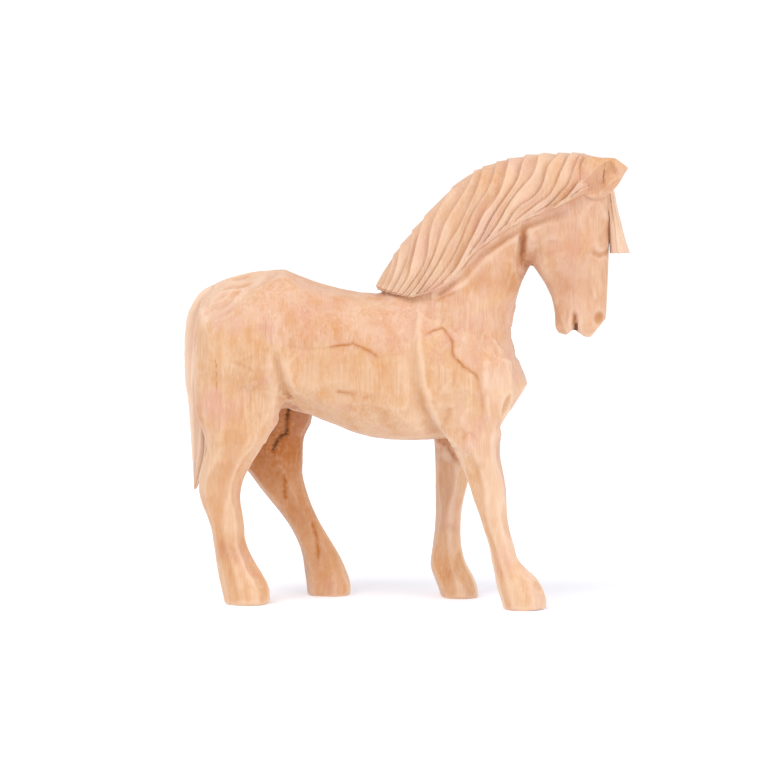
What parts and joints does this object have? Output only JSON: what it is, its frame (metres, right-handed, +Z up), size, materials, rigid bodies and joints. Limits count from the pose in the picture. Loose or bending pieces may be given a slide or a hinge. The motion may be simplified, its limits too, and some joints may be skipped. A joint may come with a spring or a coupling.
{
  "type": "carved wooden horse figurine",
  "caption": "Hand-carved bare wood horse standing with its head lowered and one foreleg stepping forward, with a carved mane, forelock, ears and tail.",
  "frame": {"origin": "on the ground, under the middle of the overall box", "axes": "+X to the horse's head, +Y to its left side, +Z up"},
  "size_m": [0.1488, 0.0436, 0.1484],
  "materials": {
    "wood": "bare, knife-cut, lightly smoothed, no varnish"
  },
  "bodies": {
    "root": {"trunk": "wood", "neck": "wood", "head": "wood", "mane": "wood", "forelock": "wood", "right_ear": "wood", "left_ear": "wood", "tail": "wood", "right_foreleg": "wood", "left_foreleg": "wood", "right_hind_leg": "wood", "left_hind_leg": "wood"}
  },
  "joints": []
}
